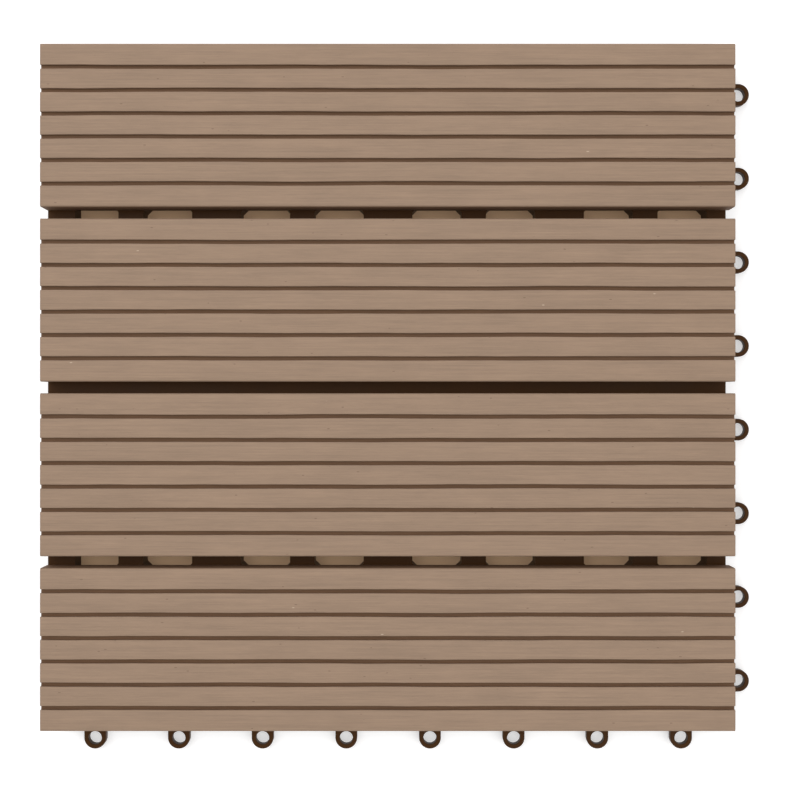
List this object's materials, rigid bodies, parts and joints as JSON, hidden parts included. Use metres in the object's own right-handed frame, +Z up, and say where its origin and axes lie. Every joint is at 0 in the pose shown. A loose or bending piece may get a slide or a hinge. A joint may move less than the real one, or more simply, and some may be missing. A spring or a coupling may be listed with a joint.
{
  "type": "interlocking deck tile",
  "caption": "Square outdoor deck tile: grooved slats screwed onto a moulded grid base, with loops on adjacent sides and matching pegs under the opposite sides.",
  "frame": {"origin": "centre of the tile on the plane it stands on", "axes": "+Z up; +X along the slats, towards a side with loops; -Y is the other side with loops"},
  "size_m": [0.3085, 0.3082, 0.022],
  "materials": {
    "composite": "matte wood and plastic composite, brushed lengthwise",
    "plastic": "satin dark brown moulding",
    "steel": "plain zinc-coated"
  },
  "bodies": {
    "root": {"base_grid": "plastic", "slat_1": "composite", "slat_2": "composite", "slat_3": "composite", "slat_4": "composite", "slat_screws": "steel"}
  },
  "joints": []
}
